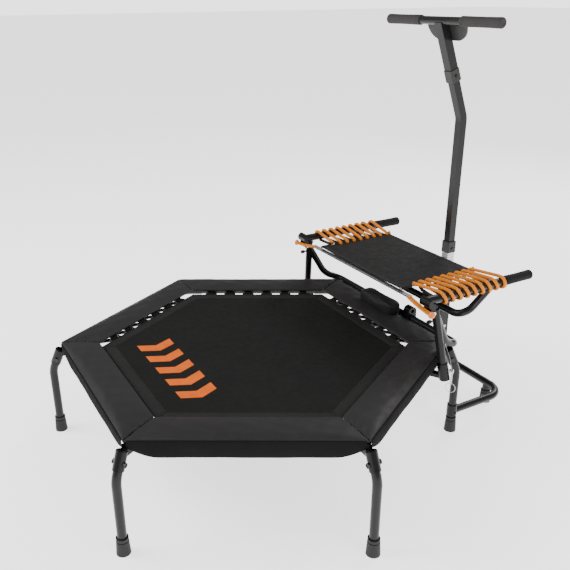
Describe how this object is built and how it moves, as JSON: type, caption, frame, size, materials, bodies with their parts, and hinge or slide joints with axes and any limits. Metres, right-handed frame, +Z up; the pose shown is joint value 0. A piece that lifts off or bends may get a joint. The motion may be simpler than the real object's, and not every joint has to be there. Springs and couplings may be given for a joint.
{
  "type": "mini trampoline",
  "caption": "Hexagonal bungee mini trampoline with padded edge, folding laced step platform and height-adjustable T-handle.",
  "frame": {"origin": "on the floor, under the middle of the whole footprint", "axes": "+Z up, +Y from the jumping mat towards the step and the handle, +X to the right of a jumper who faces the handle"},
  "size_m": [1.403, 1.4842, 1.3414],
  "materials": {
    "tube_paint": "satin black powder coat",
    "fitting_paint": "gloss black paint",
    "mat_fabric": "tight black woven polypropylene",
    "border_webbing": "sewn webbing border",
    "pad_vinyl": "matt black coated cloth",
    "black_rubber": "moulded rubber",
    "black_plastic": "moulded plastic",
    "collar_plastic": "dark grey moulded plastic",
    "grip_foam": "closed-cell foam",
    "bungee_black": "braided elastic cord",
    "bungee_orange": "braided elastic cord",
    "zinc_steel": "zinc plated",
    "scale_steel": "satin chrome with a scale",
    "bumper_foam": "foam in black coated cloth"
  },
  "bodies": {
    "frame": {"ring_tubes": "tube_paint", "corner_elbows": "fitting_paint", "leg_sockets": "fitting_paint", "leg_front_left": "tube_paint", "leg_front_right": "tube_paint", "leg_side_left": "tube_paint", "leg_side_right": "tube_paint", "leg_step_left": "tube_paint", "leg_step_right": "tube_paint", "leg_feet": "black_rubber", "leg_bolts": "zinc_steel", "jump_mat": "mat_fabric", "mat_border": "border_webbing", "mat_anchors": "black_plastic", "bungee_loops": "bungee_black", "pad_front": "pad_vinyl", "pad_front_right": "pad_vinyl", "pad_step_right": "pad_vinyl", "pad_step": "pad_vinyl", "pad_step_left": "pad_vinyl", "pad_front_left": "pad_vinyl", "base_tube": "tube_paint", "base_clamps": "fitting_paint", "base_stubs": "tube_paint", "base_feet": "black_rubber", "base_post": "tube_paint", "base_gussets": "tube_paint", "scale_tube": "scale_steel", "scale_screws": "zinc_steel", "lower_collar": "collar_plastic", "step_posts": "tube_paint", "post_sockets": "fitting_paint", "lanyards": "zinc_steel", "brace_tube": "tube_paint", "brace_clips": "fitting_paint", "edge_bracket": "fitting_paint", "edge_bumper": "bumper_foam", "hinge_barrels": "fitting_paint", "rest_buffers": "black_rubber"},
    "pole": {"bent_tube": "tube_paint"},
    "handle": {"stem_tube": "tube_paint", "upper_collar": "collar_plastic", "handlebar": "tube_paint", "bar_gusset": "collar_plastic", "bar_grips": "grip_foam"},
    "lower_lock": {"lower_lock_pin": "zinc_steel"},
    "upper_lock": {"upper_lock_pin": "zinc_steel"},
    "step": {"hinge_lugs": "fitting_paint", "hinge_bolts": "zinc_steel", "step_rails": "tube_paint", "rail_grips": "grip_foam", "cross_tube": "tube_paint", "step_mat": "mat_fabric", "step_rods": "zinc_steel", "step_lacing": "bungee_orange", "corner_tethers": "bungee_orange"},
    "pin_left": {"post_pin_left": "zinc_steel"},
    "pin_right": {"post_pin_right": "zinc_steel"},
    "plunger_left": {"post_plunger_left": "black_plastic"},
    "plunger_right": {"post_plunger_right": "black_plastic"}
  },
  "joints": [
    {"name": "pole_height", "type": "slide", "parent": "frame", "child": "pole", "axis": [0, 0, 1], "range_m": [-0.18, 0.1]},
    {"name": "handle_height", "type": "slide", "parent": "pole", "child": "handle", "axis": [0, -0.3746, 0.9272], "range_m": [-0.06, 0.05]},
    {"name": "lower_lock_pull", "type": "slide", "parent": "frame", "child": "lower_lock", "axis": [1, 0, 0], "range_m": [0, 0.005], "stiffness_N_per_m": 900, "springref_m": -0.002},
    {"name": "upper_lock_pull", "type": "slide", "parent": "handle", "child": "upper_lock", "axis": [1, 0, 0], "range_m": [0, 0.005], "stiffness_N_per_m": 900, "springref_m": -0.002},
    {"name": "step_fold", "type": "hinge", "parent": "frame", "child": "step", "pos_m": [0, 0.29213, 0.5], "axis": [1, 0, 0], "range_deg": [0, 90]},
    {"name": "pin_left_pull", "type": "slide", "parent": "frame", "child": "pin_left", "axis": [-0.866, 0.5, 0], "range_m": [0, 0.045]},
    {"name": "pin_right_pull", "type": "slide", "parent": "frame", "child": "pin_right", "axis": [0.866, 0.5, 0], "range_m": [0, 0.045]},
    {"name": "plunger_left_pull", "type": "slide", "parent": "frame", "child": "plunger_left", "axis": [0, -1, 0], "range_m": [0, 0.006], "stiffness_N_per_m": 900, "springref_m": -0.002},
    {"name": "plunger_right_pull", "type": "slide", "parent": "frame", "child": "plunger_right", "axis": [0, -1, 0], "range_m": [0, 0.006], "stiffness_N_per_m": 900, "springref_m": -0.002}
  ]
}
